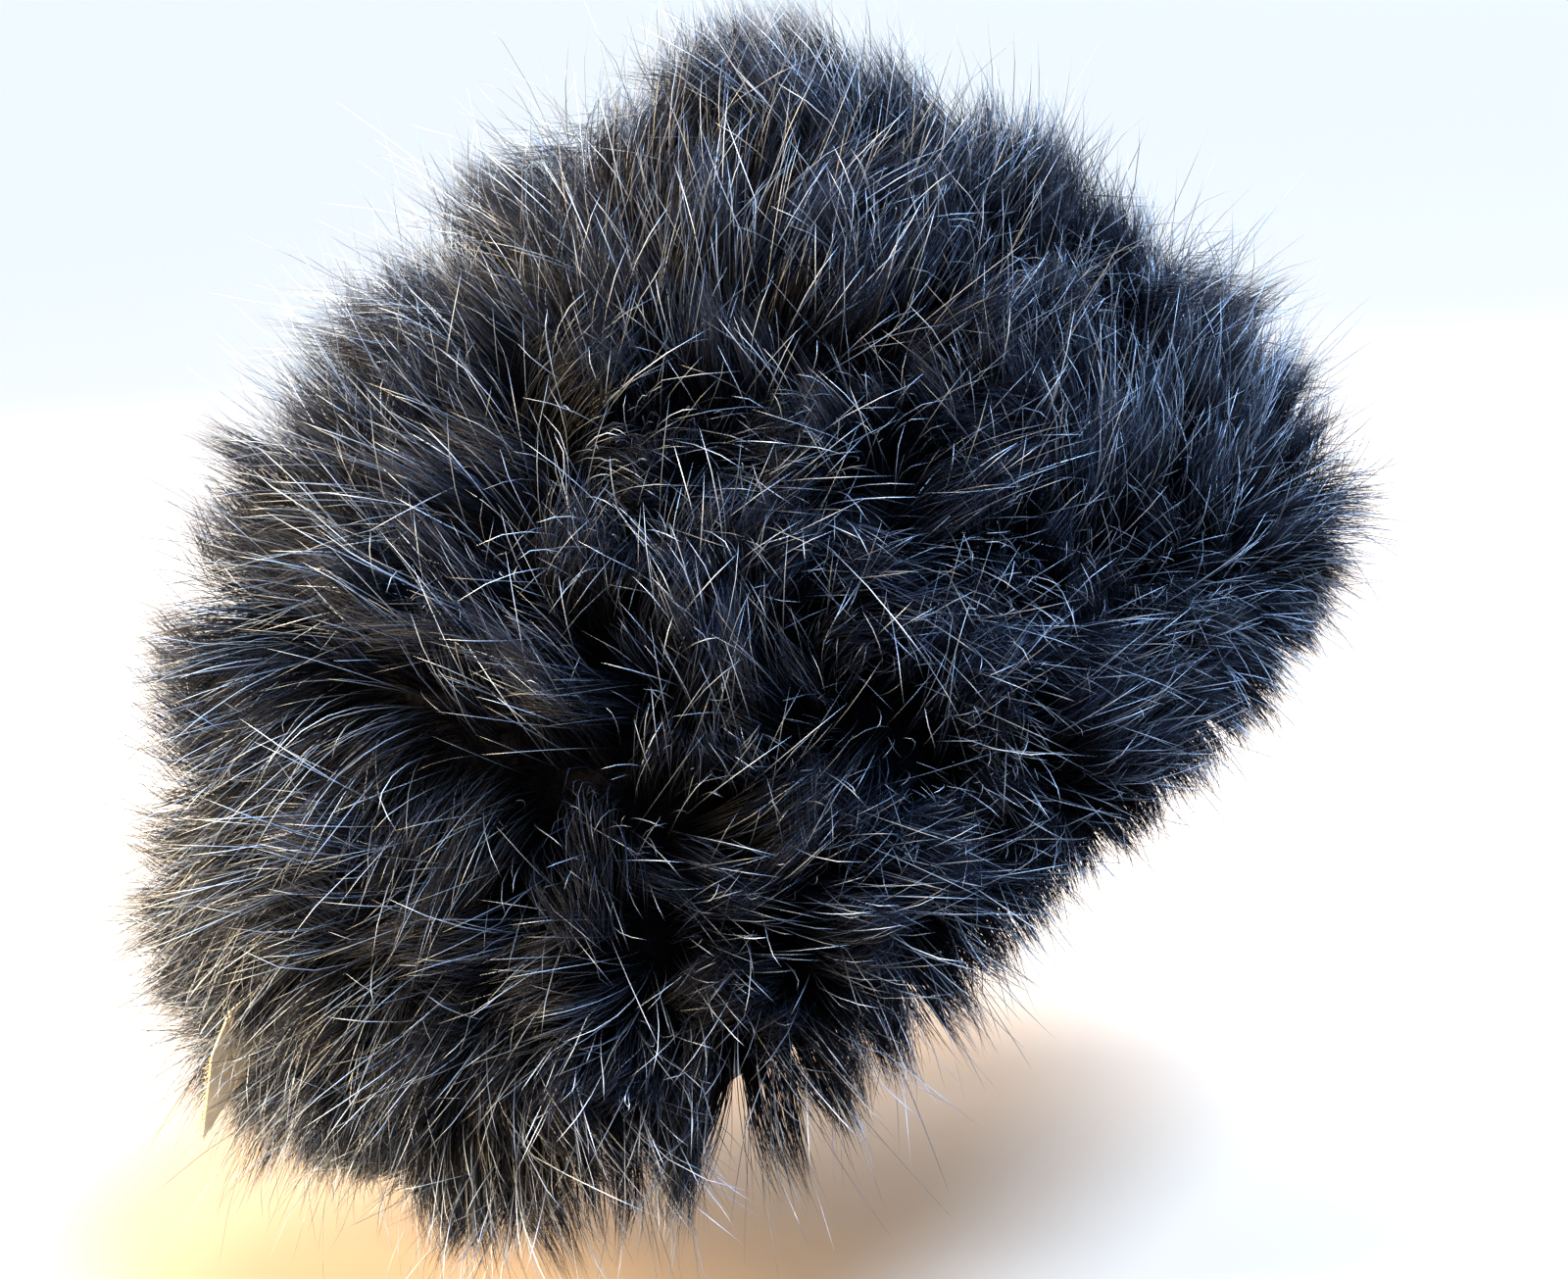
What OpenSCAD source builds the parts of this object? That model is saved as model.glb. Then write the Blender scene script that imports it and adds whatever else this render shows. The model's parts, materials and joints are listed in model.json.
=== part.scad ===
// Furry windscreen for a dummy head: a lined long-pile hood with one tilted mouth.
// Millimetres. The origin is the highest point inside the crown, +Z is up and the face looks along -Y.

/* [Head space] */
// Half of the inside width, ear to ear
half_w = 76; // [72:1:84]
// Half of the inside length, brow to nape
half_l = 105; // [98:1:112]
// Depth of the widest level below the inside of the crown
dome_h = 117; // [110:1:125]
// Roundness of the crown, from 1 for a cone to 2 for a ball
crown_round = 1.15; // [1.1:0.05:1.5]
// Share by which the wall draws in below the widest level
wall_tuck = 0.4; // [0.3:0.05:0.5]

/* [Mouth] */
// Depth of the mouth's edge at the brow
brow_depth = 84; // [80:1:92]
// Depth of the mouth's edge at the nape
nape_depth = 168; // [160:1:176]
// How late the edge sinks on its way back, from 1 for a straight slant
mouth_sweep = 1.5; // [1:0.1:2]
// Width of the tape that is folded over the mouth's edge
casing_w = 12; // [10:1:16]
// Width of the closed elastic band inside the tape
elastic_w = 5; // [4:0.5:6]

/* [Fabric] */
// Height of the fur, from the knitted backing to the tips of the underfur
pile_h = 27.5; // [22:0.5:34]
// How far the fur hangs below the mouth's edge
fringe = 12; // [10:1:16]
// Half of the parting between two fur panels, in degrees
parting = 0.45; // [0.4:0.05:0.6]
// Thickness of the mesh lining
lining_h = 1; // [0.8:0.1:1.2]
// Thickness of the open foam pads
pad_h = 2.8; // [2:0.2:3]

/* [Pads] */
// Depth of the upper edge of the brow and side pads
pad_depth = 42; // [38:1:50]
// Depth of the upper edge of the nape pad
nape_pad_depth = 84; // [78:1:95]
// Half of a pad's width, in degrees around the head
pad_half_deg = 25; // [20:1:28]

/* [Label] */
// Depth of the label's upper edge at the seam
label_depth = 123; // [118:1:128]
// Width of the label along the seam
label_w = 15; // [12:1:18]
// Thickness of the doubled label
label_t = 0.8; // [0.6:0.1:0.8]
// How far the label sags on its way through the fur
label_sag = 14; // [10:1:18]

/* [Hidden] */
// Layers, as distances outward from the inside face of the lining; casing_skin is the casing's tape
casing_skin = 1;
pad_in = lining_h + 0.8;
tape_in = pad_in + pad_h + 0.6;
tape_h = 0.6;
casing_in = -1.4;
casing_out = tape_in + tape_h;
fur_in = casing_out + 0.6;
fur_out = fur_in + pile_h;

// Fur panels around the head; the seams lie at the brow, the nape and between
panels = 6;
panel_deg = 360 / panels;
linings = 4;
lining_deg = 360 / linings;
crown_t = 0.36;
lining_crown_t = 0.3;
rows = 18;
step_deg = 6;
ring_cols = 60;
tape_half_deg = 4;
pad_clear = casing_w + 4;

// The inside face of the lining. u is the angle around the head, 0 at the brow and 90 at the left ear.
// t runs down from 0 at the crown to 1 at the widest level, and on down the wall.
function reach(t) = pow(sin(90 * min(t, 1)), 2 / crown_round) * (1 - wall_tuck * pow(max(t - 1, 0), 2));
function drop(t) = t < 1 ? dome_h * (1 - cos(90 * t)) : dome_h * t;
function depth_t(depth) = depth < dome_h ? acos(1 - depth / dome_h) / 90 : depth / dome_h;
function on_head(u, t) = [half_w * reach(t) * sin(u), -half_l * reach(t) * cos(u), -drop(t)];

// Outward direction, from two short steps around and down
function around(u, t) = on_head(u + 1, t) - on_head(u - 1, t);
function down(u, t) = on_head(u, t + 0.01) - on_head(u, t - 0.01);
function unit(v) = v / norm(v);
function outward(u, t) = t < 0.02 ? [0, 0, 1] : unit(cross(down(u, t), around(u, t)));
function spot(u, t, h) = on_head(u, t) + h * outward(u, t);

// The mouth's edge sinks from the brow to the nape; below is a further distance down
function mouth_depth(u) = brow_depth + (nape_depth - brow_depth) * pow((1 - cos(u)) / 2, mouth_sweep);
function mouth_t(u, below) = depth_t(mouth_depth(u) + below);

// Two triangles for the four corners of a cell
function cell(a, b, c, d) = [[a, b, c], [a, c, d]];
function joined(lists) = [for (one = lists) for (item = one) item];

// A sheet of cloth from place(i, j) = [u, t], with m cells down, n cells around and two faces
module cloth(m, n, place, h0, h1) {
    layer = (m + 1) * (n + 1);
    points = [for (h = [h0, h1]) for (i = [0:m]) for (j = [0:n])
        let (p = place(i, j)) spot(p[0], p[1], h)];
    at = function(s, i, j) s * layer + i * (n + 1) + j;
    faces = joined(concat(
        [for (i = [0:m - 1]) for (j = [0:n - 1])
            cell(at(0, i, j), at(0, i, j + 1), at(0, i + 1, j + 1), at(0, i + 1, j))],
        [for (i = [0:m - 1]) for (j = [0:n - 1])
            cell(at(1, i, j), at(1, i + 1, j), at(1, i + 1, j + 1), at(1, i, j + 1))],
        [for (j = [0:n - 1]) cell(at(0, 0, j), at(1, 0, j), at(1, 0, j + 1), at(0, 0, j + 1))],
        [for (j = [0:n - 1]) cell(at(0, m, j), at(0, m, j + 1), at(1, m, j + 1), at(1, m, j))],
        [for (i = [0:m - 1]) cell(at(0, i, 0), at(0, i + 1, 0), at(1, i + 1, 0), at(1, i, 0))],
        [for (i = [0:m - 1]) cell(at(0, i, n), at(1, i, n), at(1, i + 1, n), at(0, i + 1, n))]
    ));
    polyhedron(points, faces, convexity = 8);
}

// A round piece from place(i, j), where row 0 is its middle
module disc(m, n, place, h0, h1) {
    layer = (m + 1) * n;
    points = [for (h = [h0, h1]) for (i = [0:m]) for (j = [0:n - 1])
        let (p = place(i, j)) spot(p[0], p[1], h)];
    at = function(s, i, j) s * layer + i * n + (i == 0 ? 0 : j % n);
    faces = joined(concat(
        [for (i = [1:m - 1]) for (j = [0:n - 1])
            cell(at(0, i, j), at(0, i, j + 1), at(0, i + 1, j + 1), at(0, i + 1, j))],
        [for (i = [1:m - 1]) for (j = [0:n - 1])
            cell(at(1, i, j), at(1, i + 1, j), at(1, i + 1, j + 1), at(1, i, j + 1))],
        [for (j = [0:n - 1]) cell(at(0, m, j), at(0, m, j + 1), at(1, m, j + 1), at(1, m, j))],
        [for (j = [0:n - 1]) [[at(0, 0, j), at(0, 1, j + 1), at(0, 1, j)],
                              [at(1, 0, j), at(1, 1, j), at(1, 1, j + 1)]]]
    ));
    polyhedron(points, faces, convexity = 8);
}

// A band of the given outline, as [h, below] corners, that follows the mouth's edge all the way round
module hoop(outline, cols) {
    n = len(outline);
    points = [for (k = [0:cols - 1]) for (c = outline)
        let (u = 360 * k / cols) spot(u, mouth_t(u, c[1]), c[0])];
    faces = joined([for (k = [0:cols - 1]) for (c = [0:n - 1])
        let (k2 = (k + 1) % cols, c2 = (c + 1) % n)
        cell(k * n + c, k * n + c2, k2 * n + c2, k2 * n + c)]);
    polyhedron(points, faces, convexity = 10);
}

// An upright panel between two angles, from t0 down to a distance below the mouth's edge
module gore(u0, u1, t0, below, h0, h1) {
    n = max(2, ceil((u1 - u0) / step_deg));
    cloth(rows, n, function(i, j) let (u = u0 + (u1 - u0) * j / n)
        [u, t0 + (mouth_t(u, below) - t0) * i / rows], h0, h1);
}

// A round piece centred on the crown
module cap(t1, m, h0, h1) {
    disc(m, ring_cols, function(i, j) [360 * j / ring_cols, t1 * i / m], h0, h1);
}

module fur_panel(k) {
    color("#1d1e24") gore(k * panel_deg + parting, (k + 1) * panel_deg - parting,
        crown_t + 0.004, fringe, fur_in, fur_out);
}

module fur_crown() {
    color("#24252c") cap(crown_t, 6, fur_in, fur_out);
}

module lining_panel(k) {
    color("#3a3b2f") gore(k * lining_deg + parting / 2, (k + 1) * lining_deg - parting / 2,
        lining_crown_t + 0.004, 0, 0, lining_h);
}

module lining_crown() {
    color("#41423a") cap(lining_crown_t, 4, 0, lining_h);
}

module crown_patch() {
    color("#2b2c2e") cap(0.16, 2, tape_in, tape_in + tape_h);
}

module crown_pad() {
    color("#55575a") cap(0.28, 4, pad_in, pad_in + pad_h);
}

module wall_pad(u, depth) {
    color("#55575a") gore(u - pad_half_deg, u + pad_half_deg, depth_t(depth), -pad_clear,
        pad_in, pad_in + pad_h);
}

module seam_tape(u) {
    color("#17181a") gore(u - tape_half_deg, u + tape_half_deg, 0.24, -casing_w - 2,
        tape_in, tape_in + tape_h);
}

module mouth_casing() {
    edge = elastic_w + 3;
    color("#141416") hoop([
        [casing_in, -casing_w], [casing_in, edge], [casing_out, edge], [casing_out, -casing_w],
        [casing_out - casing_skin, -casing_w], [casing_out - casing_skin, edge - casing_skin],
        [casing_in + casing_skin, edge - casing_skin], [casing_in + casing_skin, -casing_w]], 72);
}

module mouth_elastic() {
    color("#2a2a30") hoop([[0.6, 1.2], [0.6, 1.2 + elastic_w], [2.6, 1.2 + elastic_w], [2.6, 1.2]], 72);
}

// The label stands in the nape seam like a flag and sags as it comes out of the fur.
// Its corners are [distance behind the seam's foot, height], in the plane X = 0.
label_foot = spot(180, depth_t(label_depth), fur_in + 0.6);
label_exit = spot(180, depth_t(label_depth), fur_out);
label_run = label_exit[1] - label_foot[1];
fold_gap = 0.8;
flap_out = 7;
flap_drop = 8.5;

module in_label_plane(outline) {
    translate([-label_t / 2, label_foot[1], label_foot[2]])
        rotate([90, 0, 90]) linear_extrude(label_t) polygon(outline);
}

module label_root() {
    color("#c7ae83") in_label_plane([[0, 0], [0, -label_w],
        [label_run, -label_w - label_sag], [label_run, -label_sag]]);
}

// The flap is cut on the slant, so that it ends in one low corner
module label_flap() {
    fold = label_run + fold_gap;
    color("#cfb78d") in_label_plane([[fold, -label_sag - 1], [fold, -label_w - label_sag],
        [fold + flap_out, -label_w - label_sag - flap_drop], [fold + 0.5 * flap_out, -label_sag - 3]]);
}

module label_stitch() {
    for (k = [0:4])
        color("#e7dfcb") translate([0, label_foot[1] + 2.4, label_foot[2] - 3 - k * 3])
            rotate([0, 90, 0]) cylinder(h = label_t + 0.5, d = 0.7, center = true, $fn = 24);
}

fur_crown();
fur_panel(0);  // fur_left_front
fur_panel(1);  // fur_left_side
fur_panel(2);  // fur_left_rear
fur_panel(3);  // fur_right_rear
fur_panel(4);  // fur_right_side
fur_panel(5);  // fur_right_front
lining_crown();
lining_panel(0);  // lining_left_front
lining_panel(1);  // lining_left_rear
lining_panel(2);  // lining_right_rear
lining_panel(3);  // lining_right_front
crown_patch();
crown_pad();
wall_pad(0, pad_depth);  // brow_pad
wall_pad(90, pad_depth);  // left_pad
wall_pad(180, nape_pad_depth);  // nape_pad
wall_pad(270, pad_depth);  // right_pad
seam_tape(0);  // seam_tape_brow
seam_tape(60);  // seam_tape_left_front
seam_tape(120);  // seam_tape_left_rear
seam_tape(180);  // seam_tape_nape
seam_tape(240);  // seam_tape_right_rear
seam_tape(300);  // seam_tape_right_front
mouth_casing();
mouth_elastic();
label_root();
label_stitch();
label_flap();
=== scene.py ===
"""Furry windscreen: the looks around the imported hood. Metres, +Z up, the face looks along -Y."""

import json
import math

import bmesh
import bpy
import numpy as np
from mathutils import Matrix, Vector, kdtree

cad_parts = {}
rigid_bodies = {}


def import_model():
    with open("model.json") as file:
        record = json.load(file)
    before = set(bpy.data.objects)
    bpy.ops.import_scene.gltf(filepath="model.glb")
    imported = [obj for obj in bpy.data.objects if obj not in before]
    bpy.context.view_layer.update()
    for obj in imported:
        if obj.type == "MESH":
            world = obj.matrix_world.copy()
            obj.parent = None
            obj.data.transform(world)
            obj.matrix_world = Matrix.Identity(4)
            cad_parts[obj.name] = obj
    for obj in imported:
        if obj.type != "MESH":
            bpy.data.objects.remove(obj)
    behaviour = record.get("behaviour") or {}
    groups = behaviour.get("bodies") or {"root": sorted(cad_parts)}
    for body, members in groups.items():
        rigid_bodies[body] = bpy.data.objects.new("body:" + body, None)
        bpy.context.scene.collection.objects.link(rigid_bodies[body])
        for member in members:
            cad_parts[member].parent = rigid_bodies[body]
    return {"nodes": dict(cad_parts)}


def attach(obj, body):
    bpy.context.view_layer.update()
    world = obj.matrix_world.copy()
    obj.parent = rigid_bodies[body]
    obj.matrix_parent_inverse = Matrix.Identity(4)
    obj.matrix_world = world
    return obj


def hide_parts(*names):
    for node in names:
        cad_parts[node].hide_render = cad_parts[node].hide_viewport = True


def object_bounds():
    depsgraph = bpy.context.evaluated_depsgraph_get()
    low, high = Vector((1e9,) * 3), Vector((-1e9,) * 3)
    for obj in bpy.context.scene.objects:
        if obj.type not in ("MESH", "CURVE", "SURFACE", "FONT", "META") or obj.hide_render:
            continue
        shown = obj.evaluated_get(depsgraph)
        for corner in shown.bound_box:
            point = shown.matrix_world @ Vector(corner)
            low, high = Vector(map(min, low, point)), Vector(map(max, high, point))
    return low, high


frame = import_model()
cad_low, cad_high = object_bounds()

# ---------------------------------------------------------------- the hood's form, as in the CAD source
MM = 0.001
HALF_W, HALF_L, DOME_H = 76 * MM, 105 * MM, 117 * MM
CROWN_ROUND, WALL_TUCK = 1.15, 0.4
BROW_DEPTH, NAPE_DEPTH, MOUTH_SWEEP = 84 * MM, 168 * MM, 1.5
CASING_W, ELASTIC_W = 12 * MM, 5 * MM
PAD_IN, PAD_H = 1.8 * MM, 2.8 * MM
TAPE_IN = 5.2 * MM
CASING_IN, CASING_OUT, CASING_SKIN = -1.4 * MM, 5.8 * MM, 0.4 * MM
FUR_IN = 6.4 * MM
CROWN_T, LINING_CROWN_T = 0.36, 0.3
PARTING = 0.45
PANELS = ["fur_left_front", "fur_left_side", "fur_left_rear",
          "fur_right_rear", "fur_right_side", "fur_right_front"]
PANEL_DEG = 360 / len(PANELS)
LININGS = ["lining_left_front", "lining_left_rear", "lining_right_rear", "lining_right_front"]
HOOD, LABEL = "hood", "label"
UP = np.array([0, 0, 1.0])
CROWN_BLEND = 0.16
rng = np.random.default_rng(838)
BOX_LOW, BOX_HIGH = np.array(cad_low), np.array(cad_high)


def reach(t):
    dome = np.sin(np.radians(90 * np.clip(t, 0, 1))) ** (2 / CROWN_ROUND)
    return dome * (1 - WALL_TUCK * np.maximum(t - 1, 0) ** 2)


def drop(t):
    return np.where(t < 1, DOME_H * (1 - np.cos(np.radians(90 * np.clip(t, 0, 1)))), DOME_H * t)


def depth_t(depth):
    dome = np.degrees(np.arccos(np.clip(1 - depth / DOME_H, -1, 1))) / 90
    return np.where(depth < DOME_H, dome, depth / DOME_H)


def on_head(u, t):
    """Points on the lining's inside face. u is the angle round the head in degrees, 0 at the brow."""
    a = np.radians(u)
    return np.stack([HALF_W * reach(t) * np.sin(a), -HALF_L * reach(t) * np.cos(a), -drop(t)], -1)


def unit(v):
    return v / np.maximum(np.linalg.norm(v, axis=-1, keepdims=True), 1e-12)


def smooth(x):
    x = np.clip(x, 0, 1)
    return x * x * (3 - 2 * x)


def directions(u, t):
    """Outward, downward and round-the-head directions. Outward turns straight up at the crown."""
    near = np.maximum(t, 0.03)
    down = unit(on_head(u, near + 0.01) - on_head(u, near - 0.01))
    around = unit(on_head(u + 1, near) - on_head(u - 1, near))
    upright = (1 - smooth(t / CROWN_BLEND))[..., None]
    out = unit(np.cross(down, around) * (1 - upright) + UP * upright)
    return out, down, around


def spot(u, t, h):
    u, t, h = np.broadcast_arrays(np.asarray(u, float), np.asarray(t, float), np.asarray(h, float))
    return on_head(u, t) + h[..., None] * directions(u, t)[0]


def mouth_t(u, below=0.0):
    sweep = ((1 - np.cos(np.radians(u))) / 2) ** MOUTH_SWEEP
    return depth_t(BROW_DEPTH + (NAPE_DEPTH - BROW_DEPTH) * sweep + below)


def grid(u0, u1, cols, rows):
    """Angles round the head and shares of the way down, as two grids."""
    return np.meshgrid(np.linspace(u0, u1, cols + 1), np.linspace(0, 1, rows + 1))


def down_wall(top, share, u, below=0.0):
    """The level at a share of the way from a top level down to the mouth's edge."""
    return top + share * (mouth_t(u, below) - top)


def wander(points, scale, seed):
    """A smooth random vector field, as a sum of waves."""
    waves = np.random.default_rng(seed)
    out = np.zeros_like(points)
    for _ in range(9):
        way = unit(waves.normal(size=3)) / scale * waves.uniform(0.6, 1.7)
        out += np.sin(points @ way * 2 * np.pi + waves.uniform(0, 6.3))[..., None] * waves.normal(size=3)
    return out / 3


# ---------------------------------------------------------------- objects and meshes
def new_object(name, data):
    thing = bpy.data.objects.new(name, data)
    bpy.context.scene.collection.objects.link(thing)
    return thing


def mesh_from_arrays(name, points, loops, starts, uvs, layer):
    """A mesh from flat arrays, which is quick for hundreds of thousands of faces."""
    mesh = bpy.data.meshes.new(name)
    mesh.vertices.add(len(points))
    mesh.vertices.foreach_set("co", np.ascontiguousarray(points, np.float32).ravel())
    mesh.loops.add(len(loops))
    mesh.loops.foreach_set("vertex_index", np.ascontiguousarray(loops, np.int32))
    mesh.polygons.add(len(starts))
    mesh.polygons.foreach_set("loop_start", np.ascontiguousarray(starts, np.int32))
    coords = mesh.uv_layers.new(name=layer)
    coords.data.foreach_set("uv", np.ascontiguousarray(uvs, np.float32).ravel())
    mesh.update(calc_edges=True)
    mesh.polygons.foreach_set("use_smooth", np.ones(len(starts), bool))
    return mesh


def seal(mesh):
    """Merges the points that coincide, and turns every face outward."""
    bm = bmesh.new()
    bm.from_mesh(mesh)
    bmesh.ops.remove_doubles(bm, verts=bm.verts, dist=1e-6)
    bmesh.ops.recalc_face_normals(bm, faces=bm.faces)
    bm.to_mesh(mesh)
    bm.free()


def sewn(name, inner, outer, wrap=False, crown=False):
    """A closed piece of cloth between two grids of points, rows down and columns across."""
    rows, cols = inner.shape[:2]
    n = rows * cols
    index = np.arange(n).reshape(rows, cols)
    a, b, c, d = index[:-1, :-1], index[:-1, 1:], index[1:, 1:], index[1:, :-1]
    quads = [np.stack([a, d, c, b], -1).reshape(-1, 4), np.stack([a, b, c, d], -1).reshape(-1, 4) + n]
    rims = [index[-1]] + ([] if crown else [index[0]]) + ([] if wrap else [index[:, 0], index[:, -1]])
    quads += [np.stack([r[:-1], r[1:], r[1:] + n, r[:-1] + n], -1) for r in rims]
    loops = np.concatenate(quads).ravel()
    middle = (inner + outer) / 2
    across = np.cumsum(np.linalg.norm(np.diff(middle, axis=1, prepend=middle[:, :1]), axis=-1), axis=1)
    across = across - across[:, cols // 2, None]
    along = np.cumsum(np.linalg.norm(np.diff(middle, axis=0, prepend=middle[:1]), axis=-1), axis=0)
    place = np.stack([across, along], -1).reshape(-1, 2)
    uvs = np.concatenate([place, place])[loops]
    points = np.concatenate([inner.reshape(-1, 3), outer.reshape(-1, 3)])
    mesh = mesh_from_arrays(name, points, loops, np.arange(len(loops) // 4) * 4, uvs, "Cloth")
    seal(mesh)
    return new_object(name, mesh)


def strands(name, paths, widths, shade, sides=3):
    """Tapering strands along paths (n, k, 3), closed at the root and pointed at the tip."""
    n, k, _ = paths.shape
    tangent = unit(np.diff(paths, axis=1))
    side = unit(np.cross(tangent, unit(rng.normal(size=(n, 1, 3)))))
    other = np.cross(tangent, side)
    turn = (np.arange(sides) * 2 * np.pi / sides)[:, None]
    ring = side[:, :, None] * np.cos(turn) + other[:, :, None] * np.sin(turn)
    rings = paths[:, :-1, None] + ring * widths[:, :-1, None, None] / 2
    per = sides * (k - 1) + 1
    points = np.concatenate([rings.reshape(n, -1, 3), paths[:, -1:]], axis=1)
    corners = [(c, (c + 1) % sides) for c in range(sides)]
    steps = range(0, (k - 2) * sides, sides)
    faces = [[j + c, j + d, j + sides + d, j + sides + c] for j in steps for c, d in corners]
    faces += [[(k - 2) * sides + c, (k - 2) * sides + d, per - 1] for c, d in corners]
    faces += [list(range(sides))[::-1]]
    flat = np.concatenate([np.array(f) for f in faces])
    begins = np.cumsum([0] + [len(f) for f in faces[:-1]])
    loops = (flat[None] + (np.arange(n) * per)[:, None]).ravel()
    starts = (begins[None] + (np.arange(n) * len(flat))[:, None]).ravel()
    along = (flat // sides) / (k - 1)
    spread = (flat % sides - 1) * 0.012
    u = 0.02 + 0.96 * shade[:, None] + spread[None]
    uvs = np.stack([u, np.broadcast_to(0.01 + 0.98 * along, u.shape)], -1)
    return mesh_from_arrays(name, points.reshape(-1, 3), loops, starts, uvs, "OFBake")


# ---------------------------------------------------------------- materials
class Look:
    """Builds one procedural material around a Principled shader."""

    def __init__(self, name, **values):
        self.material = bpy.data.materials.new(name)
        self.material.use_nodes = True
        self.tree = self.material.node_tree
        self.shader = self.tree.nodes["Principled BSDF"]
        for key, value in values.items():
            self.shader.inputs[key.replace("_", " ")].default_value = value

    def add(self, kind, inputs=(), **values):
        node = self.tree.nodes.new(kind)
        for key, value in values.items():
            setattr(node, key, value)
        for key, value in dict(inputs).items():
            self.feed(node.inputs[key], value)
        return node

    def feed(self, socket, value):
        if isinstance(value, bpy.types.NodeSocket):
            self.tree.links.new(value, socket)
        else:
            socket.default_value = value

    def uv(self, layer):
        return self.add("ShaderNodeUVMap", uv_map=layer).outputs["UV"]

    def own_place(self):
        return self.add("ShaderNodeTexCoord").outputs["Object"]

    def noise(self, vector, scale, detail=4.0):
        node = self.add("ShaderNodeTexNoise", {"Vector": vector, "Scale": scale, "Detail": detail})
        return node.outputs["Fac"]

    def math(self, operation, a, b=0.0, c=0.0):
        return self.add("ShaderNodeMath", {0: a, 1: b, 2: c}, operation=operation).outputs[0]

    def split(self, vector):
        return self.add("ShaderNodeSeparateXYZ", {"Vector": vector}).outputs

    def stripes(self, distance, pitch):
        """0 to 1 and back once every pitch."""
        wave = self.math("SINE", self.math("MULTIPLY", distance, 2 * math.pi / pitch))
        return self.math("MULTIPLY_ADD", wave, 0.5, 0.5)

    def ramp(self, factor, stops):
        node = self.add("ShaderNodeValToRGB", {"Fac": factor})
        while len(node.color_ramp.elements) < len(stops):
            node.color_ramp.elements.new(0.5)
        for element, (place, colour) in zip(node.color_ramp.elements, stops):
            element.position = place
            element.color = (*colour, 1)
        return node.outputs["Color"]

    def mix(self, kind, factor, a, b):
        node = self.add("ShaderNodeMix", data_type="RGBA", blend_type=kind)
        self.feed(node.inputs["Factor"], factor)
        self.feed(node.inputs["A"], a)
        self.feed(node.inputs["B"], b)
        return node.outputs["Result"]

    def colour(self, value):
        self.feed(self.shader.inputs["Base Color"], value)

    def bump(self, height, strength, distance):
        node = self.add("ShaderNodeBump", {"Height": height, "Strength": strength, "Distance": distance})
        self.feed(self.shader.inputs["Normal"], node.outputs["Normal"])


def grey(value):
    return (value, value, value)


def hair_look(name, stops, spread, roughness, specular):
    """Hair that runs from a root colour to a tip colour, and differs from hair to hair."""
    look = Look(name, Roughness=roughness)
    look.shader.inputs["Specular IOR Level"].default_value = specular
    place = look.uv("OFBake")
    axes = look.split(place)
    along = look.ramp(axes["Y"], stops)
    low, middle, high = spread
    own = look.ramp(axes["X"], [(0.0, grey(low)), (0.55, grey(middle)), (1.0, grey(high))])
    fine = look.ramp(look.noise(place, 90.0), [(0.3, grey(0.75)), (0.7, grey(1.2))])
    look.colour(look.mix("MULTIPLY", 1.0, look.mix("MULTIPLY", 1.0, along, own), fine))
    return look.material


def plain_look(name, colour, roughness):
    return Look(name, Base_Color=(*colour, 1), Roughness=roughness).material


def wool_look():
    look = Look("wool", Roughness=1.0)
    look.shader.inputs["Specular IOR Level"].default_value = 0.02
    noise = look.noise(look.own_place(), 420.0, 6.0)
    # Near-black, far darker than black cloth: the dense wool's own dark colour together with painted shade
    # deep in the pile, in random lumps.
    look.colour(look.ramp(noise, [(0.3, (0.0004, 0.0004, 0.0006)), (0.7, (0.0016, 0.0018, 0.0035))]))
    look.bump(noise, 0.8, 0.002)
    return look.material


def mesh_knit_look():
    """Warp-knitted mesh lining: small round holes in rows, in a dull olive yarn, with painted shade in the
    holes and on the yarn round them.
    """
    look = Look("mesh_lining", Roughness=0.85, Sheen_Weight=0.25)
    cloth = look.uv("Cloth")
    cells = look.add("ShaderNodeTexVoronoi", {"Vector": cloth, "Scale": 560.0, "Randomness": 0.15})
    holes = cells.outputs["Distance"]
    # The olive yarn is the cloth's own colour; the near-black in the holes and the yarn's darkening towards
    # them are painted shade.
    yarn = [(0.16, (0.004, 0.004, 0.003)), (0.3, (0.030, 0.031, 0.022)), (0.62, (0.055, 0.057, 0.042))]
    pattern_and_painted_shade = look.ramp(holes, yarn)
    worn = look.ramp(look.noise(look.own_place(), 45.0), [(0.3, grey(0.7)), (0.7, (1.2, 1.18, 1.1))])
    look.colour(look.mix("MULTIPLY", 1.0, pattern_and_painted_shade, worn))
    look.bump(holes, 0.6, 0.0006)
    return look.material


def grosgrain_look(name, dark, light, pitch, sheen=0.2):
    """Ribbed narrow-woven tape: ribs across it, with the warp showing between them, and painted shade
    darkening the low parts of the weave.
    """
    look = Look(name, Roughness=0.7, Sheen_Weight=sheen)
    axes = look.split(look.uv("Cloth"))
    ribs = look.stripes(axes["X"], pitch)
    warp = look.stripes(axes["Y"], pitch * 0.45)
    height = look.math("MULTIPLY_ADD", warp, 0.25, look.math("MULTIPLY", ribs, 0.75))
    # Darker where the weave is lower: dark is the tape's tone with painted shade in the grooves, light is the
    # rib tops.
    pattern_and_painted_shade = look.ramp(height, [(0.15, dark), (0.8, light)])
    worn = look.ramp(look.noise(look.own_place(), 70.0), [(0.3, grey(0.78)), (0.75, grey(1.2))])
    look.colour(look.mix("MULTIPLY", 1.0, pattern_and_painted_shade, worn))
    look.bump(height, 0.7, 0.0004)
    return look.material


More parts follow.
